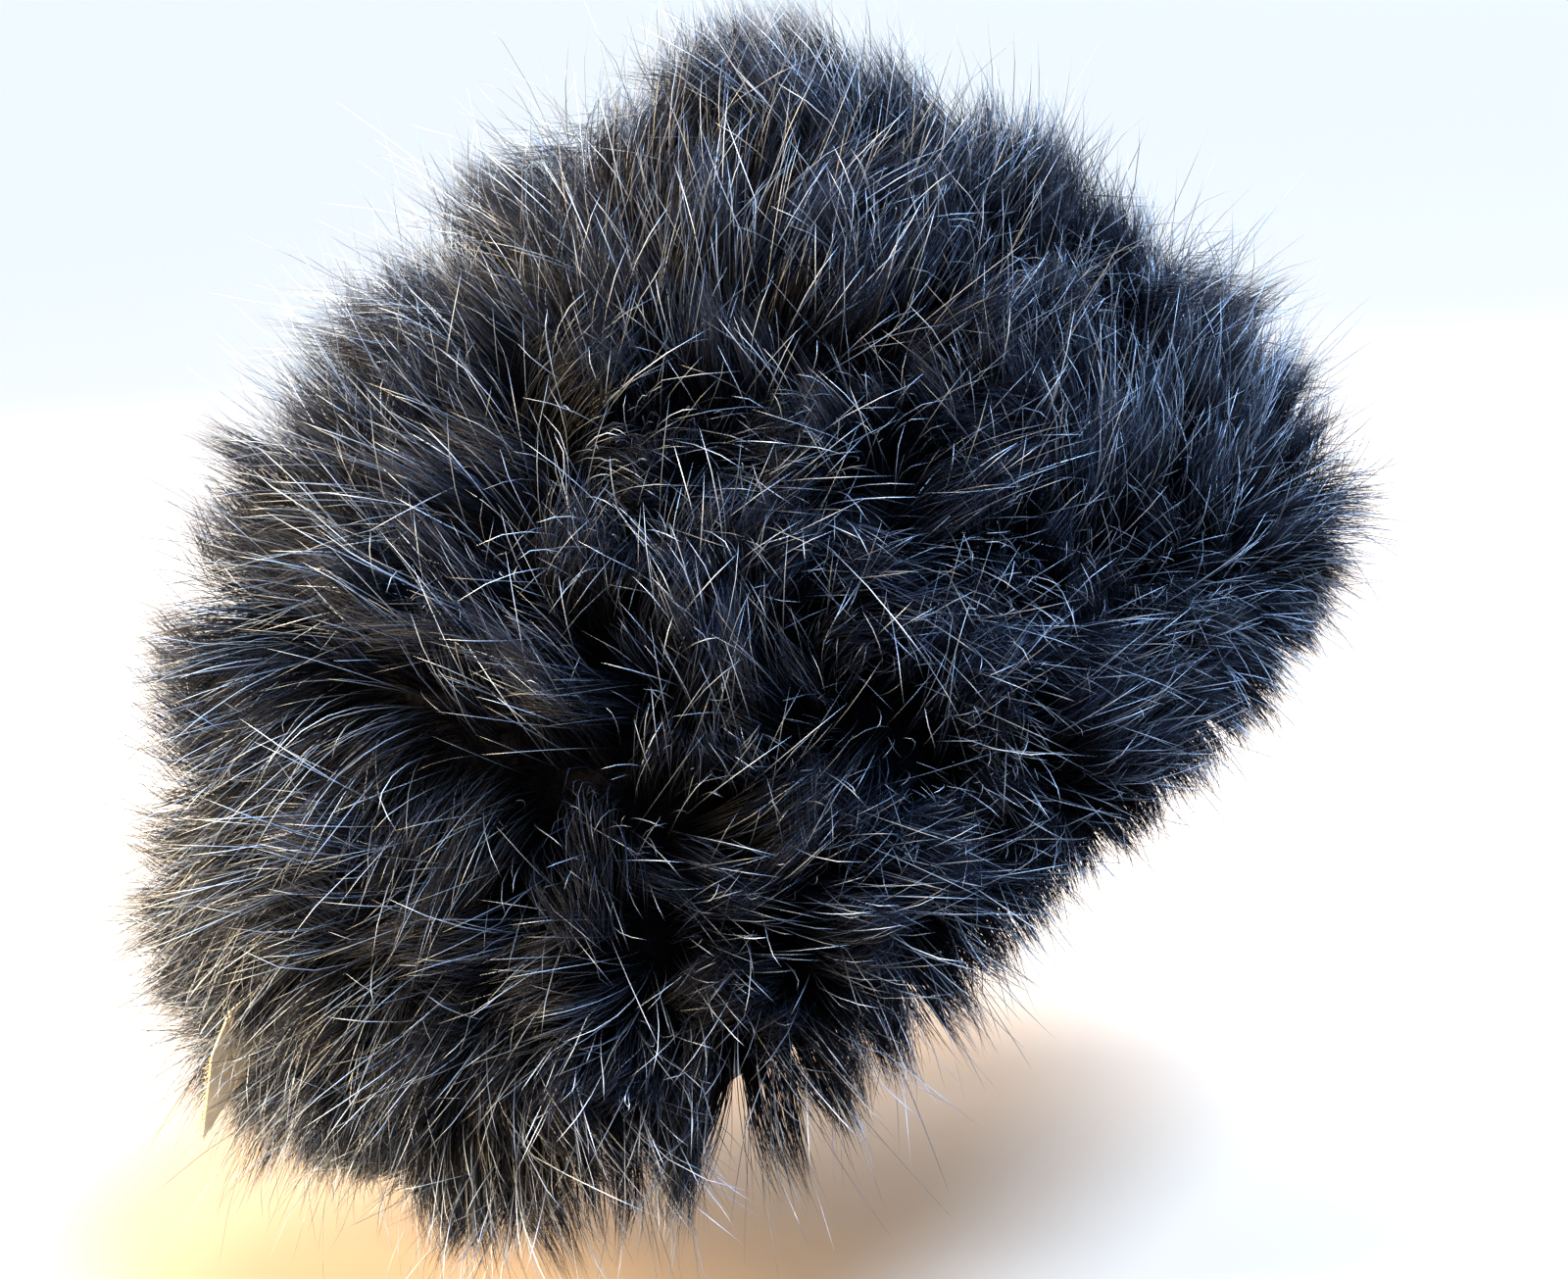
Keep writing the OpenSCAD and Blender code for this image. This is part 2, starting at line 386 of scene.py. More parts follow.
def foam_look():
    look = Look("open_foam", Roughness=0.95)
    place = look.own_place()
    pores = look.add("ShaderNodeTexVoronoi", {"Vector": place, "Scale": 900.0})
    # Dark in the pores and lighter on the walls between them: painted shade in the pores over the foam's own
    # grey.
    pattern_and_painted_shade = look.ramp(pores.outputs["Distance"], [(0.1, (0.02, 0.02, 0.022)), (0.5, (0.11, 0.115, 0.12))])
    worn = look.ramp(look.noise(place, 60.0), [(0.3, grey(0.8)), (0.7, grey(1.15))])
    look.colour(look.mix("MULTIPLY", 1.0, pattern_and_painted_shade, worn))
    look.bump(pores.outputs["Distance"], 0.8, 0.0008)
    return look.material


def thread_look(name, colour):
    look = Look(name, Roughness=0.5)
    noise = look.noise(look.own_place(), 2500.0)
    look.colour(look.ramp(noise, [(0.3, tuple(c * 0.6 for c in colour)), (0.7, colour)]))
    look.bump(noise, 0.4, 0.0002)
    return look.material


def put(piece, look, body, slot, *nodes):
    """Gives a piece its material and body, and hides the CAD nodes that it stands for. The slot is not used.
    """
    piece.data.materials.append(look)
    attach(piece, body)
    for node in nodes:
        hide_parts(node)
    return piece


# ---------------------------------------------------------------- the fur's hairs
SHARE = 1.0
MOST_FACES = 188000  # in one piece
EDGE_BAND, TRIMMED_BAND, FALLING_BAND = 32 * MM, 36 * MM, 9 * MM
LABEL_U, LABEL_DEPTH, LABEL_U_REACH, LABEL_REACH = 180, 128 * MM, 11, 18 * MM
HAIR_ROOM_SHARE, HAIR_ROOM = 0.03, 8 * MM
BATCH = 60000


def edge_share(u, t, band):
    """1 at the mouth's edge, falling to 0 one band higher up."""
    return np.clip(1 - (mouth_t(u) - t) * DOME_H / band, 0, 1)


def rear(u):
    """0 at the brow and 1 at the nape."""
    return (1 - np.cos(np.radians(u))) / 2


def by_label(u, t):
    """1 on the nape where the label comes out of the pile, falling to near 0 about 35 mm away."""
    return np.exp(-((u - LABEL_U) / LABEL_U_REACH) ** 2 - ((t * DOME_H - LABEL_DEPTH) / LABEL_REACH) ** 2)


def over_edge(u, t):
    """Near 1 on the last hairs before the mouth's front and sides, which fall over its folded tape."""
    most = np.interp(rear(u), [0.1, 0.2, 0.34, 0.42, 0.65, 0.8], [1.0, 0.8, 0.6, 1.0, 0.9, 0.0])
    return most * smooth(edge_share(u, t, FALLING_BAND))


def scatter(count):
    """Places (u, t) over the fabric, denser at the crown, where hairs fan out, and at the mouth's edge."""
    us, ts, found = [], [], 0
    while found < count:
        u = rng.uniform(0, 360, BATCH)
        span = mouth_t(u)
        t = np.maximum(rng.uniform(0, 1, BATCH) * span, 0.004)
        step_t = on_head(u, t + 0.002) - on_head(u, np.maximum(t - 0.002, 0))
        step_u = on_head(u + 0.5, t) - on_head(u - 0.5, t)
        weight = np.linalg.norm(np.cross(step_t, step_u), axis=-1) * span
        at_crown = 1 - smooth(t / 0.35)
        weight *= 1 + 2.5 * at_crown + 1.5 * edge_share(u, t, EDGE_BAND) + 2.5 * by_label(u, t)
        keep = rng.uniform(0, weight.max(), len(u)) < weight
        us.append(u[keep])
        ts.append(t[keep])
        found += keep.sum()
    return np.concatenate(us)[:count], np.concatenate(ts)[:count]


def comb(u, t):
    """The lean of the whole coat: up towards the crown at the top, down at the sides and the rear edge."""
    out, down, around = directions(u, t)
    place = spot(u, t, FUR_IN)
    rise = np.interp(t, [0, 0.12, 0.4, 0.75, 1.0, 1.2, 1.4], [0, -0.42, -0.40, -0.2, 0.05, 0.12, 0.2])
    hang = np.interp(rear(u), [0.09, 0.22, 0.5, 0.64, 0.70, 0.75, 0.81, 0.87, 0.93, 0.97, 0.985, 1.0],
                     [-0.10, -0.35, -0.15, 0.15, 0.5, 0.6, 0.52, 0.45, 0.5, 0.4, 0.2, 0.05])
    hang = hang * edge_share(u, t, EDGE_BAND) ** 1.5
    lean = down * (rise + hang + 1.2 * over_edge(u, t))[:, None]
    over_label = by_label(u, t + 10 * MM / DOME_H)[:, None]
    away = around * np.clip((LABEL_U - u) / 6, -1, 1)[:, None]
    lean = lean + over_label * (away * 0.35 + down * 0.3)
    lean = lean + 0.38 * wander(place, 0.075, 5) + 0.32 * wander(place, 0.032, 6)
    return lean - out * (lean * out).sum(-1, keepdims=True)


def jitter(u, t, amount):
    """Each hair's own lean, at random along the fabric."""
    out, down, around = directions(u, t)
    return down * rng.normal(size=(len(u), 1)) * amount + around * rng.normal(size=(len(u), 1)) * amount


def length_factor(u, t):
    """Longest at the crown, above the brow and low at the back, and short round the mouth's front."""
    crown = 0.10 * (1 - smooth(t / 0.5))
    low = smooth(rear(u) * 2 - 1) * (0.12 + 0.06 * smooth((t - 0.95) / 0.2))
    above_edge = (mouth_t(u) - t) * DOME_H
    brow = 0.18 * smooth((0.26 - rear(u)) / 0.12) * np.exp(-((above_edge - 20 * MM) / (20 * MM)) ** 2)
    trimmed = np.interp(rear(u), [0.09, 0.16, 0.22, 0.5, 0.64, 0.72, 0.8, 0.95, 0.985, 1.0],
                        [0.14, 0.18, 0.42, 0.22, 0.22, 0.1, 0.05, 0, 0.42, 0.55])
    trimmed = trimmed * smooth(edge_share(u, t, TRIMMED_BAND))
    return (1 + crown + low + brow) * (1 - trimmed) * (1 - 0.35 * over_edge(u, t))


def grow(u, t, lean, length, sag, turn, steps):
    """Hairs that bend evenly from their root's direction to their tip's, and turn aside."""
    out = directions(u, t)[0]
    start = unit(out + 0.2 * lean)
    end = unit(0.8 * out + 2.0 * lean - UP * sag[:, None])
    s = np.linspace(0, 1, steps)[None, :, None]
    bend = start[:, None] * (s - s * s / 2) + end[:, None] * s * s / 2 + turn[:, None] * s ** 3
    return spot(u, t, FUR_IN)[:, None] + length[:, None, None] * bend


def gather(paths, targets, hold, power=1.4):
    """Draws each hair towards its tuft's middle, most at the tip."""
    s = np.linspace(0, 1, paths.shape[1])[None, :, None]
    return paths + (targets - paths) * hold * s ** power


def nearest(points, centres):
    """The number of the centre that is nearest to each point."""
    tree = kdtree.KDTree(len(centres))
    for i, c in enumerate(centres):
        tree.insert(c, i)
    tree.balance()
    return np.array([tree.find(p)[1] for p in points])


class Tufts:
    """Middles that hairs draw together to. Small tufts draw together to larger locks."""

    def __init__(self, count, lean, hold=0.0, parent=None):
        self.u, self.t = scatter(count)
        self.root = spot(self.u, self.t, FUR_IN)
        self.lean = comb(self.u, self.t) + jitter(self.u, self.t, lean)
        self.long = length_factor(self.u, self.t) * rng.uniform(0.86, 1.12, count)
        self.sag = rng.uniform(0.05, 0.35, count)
        self.turn = 0.06 * wander(self.root, 0.022, 8) + rng.normal(size=(count, 3)) * 0.03
        self.shade = rng.uniform(0, 1, count)
        self.parent, self.hold = parent, hold
        if parent:
            self.of = nearest(self.root, parent.root)
            self.lean = 0.5 * self.lean + 0.5 * parent.lean[self.of]
            self.long = self.long * 0.5 + 0.5 * parent.long[self.of]
            self.shade = self.shade * 0.5 + 0.5 * parent.shade[self.of]

    def paths(self, length, steps):
        own = grow(self.u, self.t, self.lean, length * self.long, self.sag, self.turn, steps)
        if self.parent:
            own = gather(own, self.parent.paths(length, steps)[self.of], self.hold)
        return own


def kept_inside(paths):
    """Shortens the hairs that would pass the size that the pile may stand out to."""
    room = HAIR_ROOM_SHARE * (BOX_HIGH - BOX_LOW) + HAIR_ROOM
    root = paths[:, :1]
    way = paths - root
    used = np.maximum(way / (BOX_HIGH + room - root), way / (BOX_LOW - room - root)).max((1, 2))
    cut = np.maximum(used * rng.uniform(1, 1.15, len(used)), 1)
    return root + way / cut[:, None, None]


def coat(tufts, count, length, spread, lean, hold, loose, steps, width, tip, curl, kinked=0.0):
    """One kind of hair over the whole hood: places, paths, widths and shades."""
    u, t = scatter(int(count * SHARE))
    n = len(u)
    of = nearest(spot(u, t, FUR_IN), tufts.root)
    falls = over_edge(u, t)[:, None]
    own_lean = 0.7 * (1 - falls) * tufts.lean[of] + (0.3 + 0.7 * falls) * comb(u, t)
    own_lean = own_lean + jitter(u, t, lean)
    own = rng.uniform(1 - spread, 1 + spread * 0.5, n)
    turn = tufts.turn[of] + np.clip(rng.normal(size=(n, 3)), -2, 2) * curl
    paths = grow(u, t, own_lean, length * tufts.long[of] * own, tufts.sag[of], turn, steps)
    middle = tufts.paths(length, steps)[of]
    target = middle[:, :1] + (middle - middle[:, :1]) * own[:, None, None]
    held = hold * rng.uniform(loose, 1, n)[:, None] * (1 - 0.85 * falls)
    paths = gather(paths, target, held[:, :, None])
    s = np.linspace(0, 1, steps)[None, :, None]
    paths = paths + np.clip(rng.normal(size=(n, 1, 3)), -2, 2) * 0.6 * curl * length * s ** 2
    bends = (rng.uniform(0, 1, n) < kinked)[:, None, None] * unit(rng.normal(size=(n, 1, 3))) * 0.7 * length
    paths = kept_inside(paths + bends * np.maximum(s - rng.uniform(0.35, 0.75, (n, 1, 1)), 0))
    thin = 1 - (1 - tip) * np.linspace(0, 1, steps)[None] ** 2
    widths = width / math.sqrt(SHARE) * rng.uniform(0.7, 1.25, n)[:, None] * thin
    shade = np.clip(0.55 * rng.uniform(0, 1, n) + 0.45 * tufts.shade[of], 0, 1)
    return u, t, paths, widths, shade


def add_hairs(kind, hairs, look, plain):
    """Splits one kind of hair into pieces by panel, small enough for the export."""
    u, t, paths, widths, shade = hairs
    home = np.where(t < CROWN_T, -1, np.floor((u % 360) / PANEL_DEG).astype(int))
    most = MOST_FACES // (6 * (paths.shape[1] - 2) + 4)
    made = {}
    for k, node in [(-1, "fur_crown"), *enumerate(PANELS)]:
        mine = np.flatnonzero(home == k)
        parts = np.array_split(mine, max(1, math.ceil(len(mine) / most)))
        for number, some in enumerate(parts, 1):
            name = f"{node}_{kind}_{number}"
            piece = new_object(name, strands(name, paths[some], widths[some], shade[some]))
            put(piece, plain, HOOD, "fur")
            piece.material_slots[0].link = "OBJECT"
            piece.material_slots[0].material = look
            made.setdefault(node, []).append(piece)
    return made


LOCKS = Tufts(700, 0.32)
TUFTS = Tufts(5000, 0.20, hold=0.78, parent=LOCKS)
# Each kind of hair: its shape, its colours from root to tip, how light its darkest, middle and palest hairs
# are, its roughness and its specular level
KINDS = {
    "underfur": (dict(count=86000, length=35 * MM, spread=0.2, lean=0.10, hold=0.95, loose=0.55, steps=5,
                      width=0.25 * MM, tip=0.3, curl=0.03),
                 [(0.0, (0.001, 0.001, 0.0015)), (0.6, (0.0015, 0.002, 0.004)), (1.0, (0.004, 0.006, 0.014))],
                 (0.4, 0.8, 1.8), 0.5, 0.05),
    "overfur": (dict(count=24000, length=37.5 * MM, spread=0.24, lean=0.11, hold=0.75, loose=0.35, steps=6,
                     width=0.17 * MM, tip=0.45, curl=0.07),
                [(0.0, (0.002, 0.002, 0.004)), (0.5, (0.006, 0.009, 0.018)), (1.0, (0.030, 0.044, 0.090))],
                (0.15, 0.4, 2.4), 0.4, 0.12),
    "guard": (dict(count=14000, length=39.5 * MM, spread=0.24, lean=0.20, hold=0.5, loose=0.2, steps=8,
                   width=0.18 * MM, tip=0.8, curl=0.15, kinked=0.12),
              [(0.0, (0.006, 0.007, 0.010)), (0.5, (0.024, 0.033, 0.060)), (1.0, (0.44, 0.56, 0.80))],
              (0.05, 0.27, 1.75), 0.35, 0.45),
}
HAIRS = {}
for kind, (shape, stops, spread, roughness, specular) in KINDS.items():
    look = hair_look(kind, stops, spread, roughness, specular)
    plain = plain_look(kind + "_plain", stops[1][1], roughness)
    for node, pieces in add_hairs(kind, coat(TUFTS, **shape), look, plain).items():
        HAIRS.setdefault(node, []).extend(pieces)

# ---------------------------------------------------------------- the knitted backing and its dense wool
WOOL = wool_look()
WOOL_H, WOOL_EDGE_H, WOOL_EDGE_BAND = 9.5 * MM, 1.5 * MM, 16 * MM
SEAM_GAP_T = 0.004
# Each panel's flat width and length, and the area of its cut
FRONT_CUT = ((0.095, 0.106), 0.0089)
SIDE_CUT = ((0.118, 0.142), 0.0136)
REAR_CUT = ((0.100, 0.200), 0.0178)
CUTS = {"fur_crown": ((0.090, 0.100), 0.0070),
        "fur_left_front": FRONT_CUT, "fur_right_front": FRONT_CUT,
        "fur_left_side": SIDE_CUT, "fur_right_side": SIDE_CUT,
        "fur_left_rear": REAR_CUT, "fur_right_rear": REAR_CUT}


def backing(node, k):
    """One panel's knitted backing and wool, or the crown's for k = -1."""
    if k >= 0:
        U, W = grid(k * PANEL_DEG + PARTING, (k + 1) * PANEL_DEG - PARTING, 60, 90)
        T = down_wall(CROWN_T + SEAM_GAP_T, W, U, 2 * MM)
    else:
        U, W = grid(0, 360, 180, 30)
        T = CROWN_T * W
    place = spot(U, T, FUR_IN)
    lumps = wander(place, 12 * MM, 21)[..., 0] * 1.6 * MM + wander(place, 5 * MM, 22)[..., 1] * 0.8 * MM
    edge = edge_share(U, T, WOOL_EDGE_BAND) ** 2
    high = (WOOL_H + lumps) * (1 - edge) + WOOL_EDGE_H * edge
    piece = sewn(node + "_backing", place, spot(U, T, FUR_IN + high), wrap=k < 0, crown=k < 0)
    return put(piece, WOOL, HOOD, "fur", node)


for k, node in [(-1, "fur_crown"), *enumerate(PANELS)]:
    flat, area = CUTS[node]
    backing(node, k)


# ---------------------------------------------------------------- threads, lining and mouth
def stitches(name, line, lift, pitch=2.8 * MM, length=2.0 * MM, width=0.34 * MM):
    """A row of thread stitches along a line of points; lift points away from the cloth."""
    gone = np.concatenate([[0], np.cumsum(np.linalg.norm(np.diff(line, axis=0), axis=1))])
    begins = np.arange(0, gone[-1] - length, pitch)
    at = begins[:, None] + length * np.array([0, 0.12, 0.5, 0.88, 1.0])
    high = np.array([-0.1, 0.10, 0.17, 0.10, -0.1]) * MM
    paths = np.stack([np.interp(at, gone, line[:, k]) for k in range(3)], -1)
    away = np.stack([np.interp(at, gone, lift[:, k]) for k in range(3)], -1)
    paths = paths + away * high[None, :, None]
    widths = np.full(paths.shape[:2], width)
    mesh = strands(name, paths, widths, rng.uniform(0, 1, len(begins)), sides=5)
    return put(new_object(name, mesh), DARK_THREAD, HOOD, "thread")


CLOTH_LOW, CLOTH_T, FELL_T = 0.32 * MM, 0.42 * MM, 0.2 * MM
FELL_SINK, THREAD_AT = 0.12 * MM, 0.22 * MM
DARK_THREAD = thread_look("dark_thread", (0.05, 0.05, 0.045))
PALE_THREAD = thread_look("pale_thread", (0.62, 0.55, 0.42))
LINING = mesh_knit_look()


def lining_panel(name, k):
    """One quarter of the mesh lining, felled at its seams and slightly creased."""
    u0, u1 = k * 90 + PARTING / 2, (k + 1) * 90 - PARTING / 2
    U, W = grid(u0, u1, 80, 90)
    T = down_wall(LINING_CROWN_T + SEAM_GAP_T, W, U)
    place = on_head(U, T)
    creases = wander(place, 40 * MM, 31 + k)[..., 0] * 0.10 * MM
    creases = creases + wander(place, 11 * MM, 41 + k)[..., 1] * 0.05 * MM
    from_edge = np.minimum(U - u0, u1 - U)
    fell = smooth((3.2 - from_edge) / 1.2)
    pucker = fell * np.sin(W * 150) * 0.06 * MM
    low = CLOTH_LOW + creases + pucker - FELL_SINK * fell
    high = low + CLOTH_T + FELL_T * fell
    piece = put(sewn(name + "_cloth", spot(U, T, low), spot(U, T, high)), LINING, HOOD, "lining", name)
    threads = []
    for side, u in (("a", u0 + 2.4), ("b", u1 - 2.4)):
        t = down_wall(LINING_CROWN_T + 0.01, np.linspace(0.01, 0.9, 120), u)
        out = directions(np.full_like(t, u), t)[0]
        threads.append(stitches(f"{name}_seam_{side}", spot(u, t, THREAD_AT), -out))
    return piece, threads


def lining_crown():
    """The round piece that closes the lining at the top."""
    U, W = grid(0, 360, 120, 24)
    T = LINING_CROWN_T * W
    fell = smooth((W - 0.86) / 0.08)
    low = CLOTH_LOW - FELL_SINK * fell + fell * np.sin(np.radians(U) * 60) * 0.05 * MM
    high = low + CLOTH_T + FELL_T * fell
    cloth = sewn("lining_crown_cloth", spot(U, T, low), spot(U, T, high), wrap=True, crown=True)
    piece = put(cloth, LINING, HOOD, "lining", "lining_crown")
    u = np.linspace(0, 358, 180)
    t = np.full_like(u, LINING_CROWN_T * 0.9)
    ring = stitches("lining_crown_seam", spot(u, t, THREAD_AT), -directions(u, t)[0])
    return piece, [ring]


FINE_GATHERS, WIDE_GATHERS = 84, 51  # round the mouth
STITCHING_UP = 10.2 * MM  # from the mouth's edge


def channel(u_cols, rows, ripple):
    """The folded tape's section as angles, depths and heights, rippled where the elastic gathers it."""
    legs, radius = CASING_W - 0.3 * MM, (CASING_OUT - CASING_IN) / 2 - CASING_SKIN
    centre_h, centre_b = (CASING_OUT + CASING_IN) / 2, 4.4 * MM
    turn = math.pi * radius
    s = np.linspace(-(legs + centre_b) - turn / 2, legs + centre_b + turn / 2, rows)
    angle = np.clip(s / radius, -math.pi / 2, math.pi / 2)
    beyond = np.abs(s) - turn / 2
    below = centre_b + radius * np.cos(angle) - np.maximum(beyond, 0)
    height = centre_h + radius * np.sin(angle)
    a = np.radians(u_cols)
    wave = np.sin(a * FINE_GATHERS) * 0.5 + 0.35 * np.sin(a * WIDE_GATHERS + 1)
    soft = smooth(1 - np.maximum(beyond, 0) / (legs + centre_b))[:, None]
    gather_in = ripple * (wave[None] + 1) * soft
    angle = angle[:, None]
    return angle, below[:, None] - gather_in * np.cos(angle), height[:, None] - gather_in * np.sin(angle)


def casing():
    """The ribbed tape folded over the mouth's edge, gathered by the elastic inside it."""
    u = np.linspace(0, 360, 721)
    angle, below, height = channel(u, 37, 0.16 * MM)
    U = np.broadcast_to(u, below.shape)
    away_b, away_h = np.cos(angle) * CASING_SKIN, np.sin(angle) * CASING_SKIN
    inner = spot(U, mouth_t(U, below - away_b), height - away_h)
    outer = spot(U, mouth_t(U, below + away_b), height + away_h)
    # The first colour is the tape's tone with painted shade in the grooves between the ribs.
    tape = grosgrain_look("mouth_tape", (0.004, 0.004, 0.005), (0.030, 0.031, 0.036), 1.1 * MM)
    piece = put(sewn("mouth_casing_tape", inner, outer, wrap=True), tape, HOOD, "tape", "mouth_casing")
    around = np.linspace(0, 359.5, 1200)
    t = mouth_t(around, -STITCHING_UP)
    row = stitches("mouth_casing_stitching", spot(around, t, CASING_IN), -directions(around, t)[0])
    return piece, [row]


def elastic():
    """A braided band with lengthwise ribs, inside the folded tape."""
    U, W = grid(0, 360, 240, 20)
    T = mouth_t(U, 1.35 * MM + W * (ELASTIC_W - 0.3 * MM))
    ribs = np.abs(np.sin(W * math.pi * 5)) * 0.2 * MM
    # The first colour is the braid's tone with painted shade between the ribs.
    look = grosgrain_look("elastic_braid", (0.006, 0.006, 0.008), (0.05, 0.05, 0.058), 0.8 * MM, 0.0)
    band = sewn("mouth_elastic_band", spot(U, T, 0.85 * MM - ribs), spot(U, T, 2.35 * MM + ribs), wrap=True)
    return put(band, look, HOOD, "elastic", "mouth_elastic")


LINING_CUTS = [((0.125, 0.094), 0.0100), ((0.125, 0.168), 0.0175)]
for k, node in enumerate(LININGS):
    cloth, threads = lining_panel(node, k)
    flat, area = LINING_CUTS[k in (1, 2)]
cloth, threads = lining_crown()
cloth, threads = casing()
elastic()


# ---------------------------------------------------------------- pads, seam tapes and patch
FOAM = foam_look()
# The first colour is the tape's tone with painted shade in the grooves between the ribs.
TAPE = grosgrain_look("seam_tape", (0.003, 0.003, 0.004), (0.022, 0.022, 0.026), 0.9 * MM)
PAD_HALF, PAD_CLEAR = 25, CASING_W + 4 * MM
PAD_TOP, NAPE_PAD_TOP = 42 * MM, 84 * MM
TAPE_HALF, TAPE_TOP_T = 4, 0.24


def swell(x):
    """1 over most of a pad, falling in a round shoulder to its edge at x = -1 and 1."""
    return np.sqrt(np.clip(1 - np.abs(x) ** 7, 0, 1))


def pad_heights(shape):
    """A pad's lower and upper face, where shape is 1 in its middle and 0 at its edge."""
    low = PAD_IN + 0.15 * MM + (1 - shape) * 0.9 * MM
    return low, PAD_IN + 0.75 * MM + (PAD_H - 0.9 * MM) * shape


def wall_pad(name, u, depth):
    """A crowned foam pad on the wall, from a depth down to the mouth's tape."""
    U, W = grid(u - PAD_HALF, u + PAD_HALF, 60, 44)
    T = down_wall(depth_t(depth), W, U, -PAD_CLEAR)
    shape = swell((U - u) / PAD_HALF) * swell(2 * W - 1)
    dimples = wander(on_head(U, T), 16 * MM, 51)[..., 0] * 0.10 * MM * shape
    low, high = pad_heights(shape)
    pad = put(sewn(name + "_foam", spot(U, T, low), spot(U, T, high + dimples)), FOAM, HOOD, "pad", name)


def crown_disc(name, node, t1, low, high, look, slot):
    """A round piece over the crown, between two heights that vary from its middle to its edge."""
    U, W = grid(0, 360, 96, 20)
    cloth = sewn(name, spot(U, t1 * W, low(W)), spot(U, t1 * W, high(W)), wrap=True, crown=True)
    return put(cloth, look, HOOD, slot, node)


def seam_tape(name, u):
    """A woven tape over one seam of the fur, with a thicker selvedge along both sides."""
    U, W = grid(u - TAPE_HALF, u + TAPE_HALF, 16, 90)
    T = down_wall(TAPE_TOP_T, W, U, -CASING_W - 2 * MM)
    selvedge = 0.08 * MM * smooth((np.abs(U - u) - 3.3) / 0.5)
    ripple = wander(on_head(U, T), 20 * MM, 61)[..., 0] * 0.05 * MM
    low = TAPE_IN + 0.12 * MM + ripple - selvedge
    tape = sewn(name + "_web", spot(U, T, low), spot(U, T, low + 0.32 * MM + 2 * selvedge))
    return put(tape, TAPE, HOOD, "tape", name)


for name, u, depth in (("brow_pad", 0, PAD_TOP), ("left_pad", 90, PAD_TOP),
                       ("nape_pad", 180, NAPE_PAD_TOP), ("right_pad", 270, PAD_TOP)):
    wall_pad(name, u, depth)
crown_disc("crown_pad_foam", "crown_pad", 0.28, lambda w: pad_heights(swell(w))[0],
                     lambda w: pad_heights(swell(w))[1], FOAM, "pad")
patch = crown_disc("crown_patch_cloth", "crown_patch", 0.16, lambda w: TAPE_IN + 0.1 * MM + 0 * w,
                   lambda w: TAPE_IN + 0.45 * MM + 0 * w, TAPE, "tape")
for name, u, flat, area in (("seam_tape_brow", 0, (0.0115, 0.067), 0.00068),
                            ("seam_tape_left_front", 60, (0.014, 0.072), 0.00090),
                            ("seam_tape_left_rear", 120, (0.014, 0.126), 0.00158),
                            ("seam_tape_nape", 180, (0.0115, 0.168), 0.00176),
                            ("seam_tape_right_rear", 240, (0.014, 0.126), 0.00158),
                            ("seam_tape_right_front", 300, (0.014, 0.072), 0.00090)):
    seam_tape(name, u)


# ---------------------------------------------------------------- the label
# The upper end of the line where the label is sewn into the nape's seam
LABEL_FOOT = np.array([0, 111.885, -123.258]) * MM
LABEL_T = 0.66 * MM


def label_look():
    """Woven cotton tape, with fine ribs, painted shade in the low parts of the weave, and a little dirt."""
    look = Look("label_cotton", Roughness=0.8, Sheen_Weight=0.3)
    axes = look.split(look.uv("Cloth"))
    ribs = look.stripes(axes["X"], 0.55 * MM)
    warp = look.stripes(axes["Y"], 0.35 * MM)
    height = look.math("MULTIPLY_ADD", warp, 0.4, look.math("MULTIPLY", ribs, 0.6))
    # Darker where the weave is lower: painted shade between the ribs over the cotton's own cream.
    pattern_and_painted_shade = look.ramp(height, [(0.1, (0.34, 0.27, 0.17)), (0.8, (0.62, 0.52, 0.36))])
    worn = look.ramp(look.noise(look.own_place(), 160.0), [(0.3, grey(0.78)), (0.65, grey(1.08))])
    look.colour(look.mix("MULTIPLY", 1.0, pattern_and_painted_shade, worn))
    look.bump(height, 0.6, 0.0003)
    return look.material


COTTON = label_look()


def label_point(a, b, corners):
    """A point on the label between four corners, each (distance behind the seam's foot, height) in mm."""
    p, q, r, s = (np.array(c) * MM for c in corners)
    a, b = np.asarray(a)[..., None], np.asarray(b)[..., None]
    flat = p * (1 - a) * (1 - b) + q * a * (1 - b) + r * a * b + s * (1 - a) * b
    return np.concatenate([np.zeros_like(a), flat], -1) + LABEL_FOOT


def label_piece(name, corners, wave, body, node):
    """One length of the doubled tape between four corners, bent aside by wave."""
    B, A = np.meshgrid(np.linspace(0, 1, 41), np.linspace(0, 1, 61))
    place = label_point(A, B, corners)
    aside = wave(A, B)[..., None] * np.array([1, 0, 0])
    half = np.array([LABEL_T / 2, 0, 0]) * (0.9 + 0.1 * np.sin(B * 90))[..., None]
    return put(sewn(name, place + aside - half, place + aside + half), COTTON, body, "label", node)


def curl_aside(a, b):
    """How far the label's free end bends out of its plane."""
    return 0.9 * MM * a * a * (b - 0.3)


# In mm behind the foot: where the hidden part ends, and where the free end begins at the fold
RUN, FOLD = 27.12, 27.44
ROOT_CORNERS = [(0, 0), (RUN, -14), (RUN, -29), (0, -15)]
FLAP_CORNERS = [(FOLD, -15), (31.5, -21.5), (34.7, -37.5), (FOLD, -29)]
root = label_piece("label_root_tape", ROOT_CORNERS, lambda a, b: 0.15 * MM * np.sin(a * 5) * a,
                   HOOD, "label_root")
flap = label_piece("label_flap_tape", FLAP_CORNERS, curl_aside, LABEL, "label_flap")


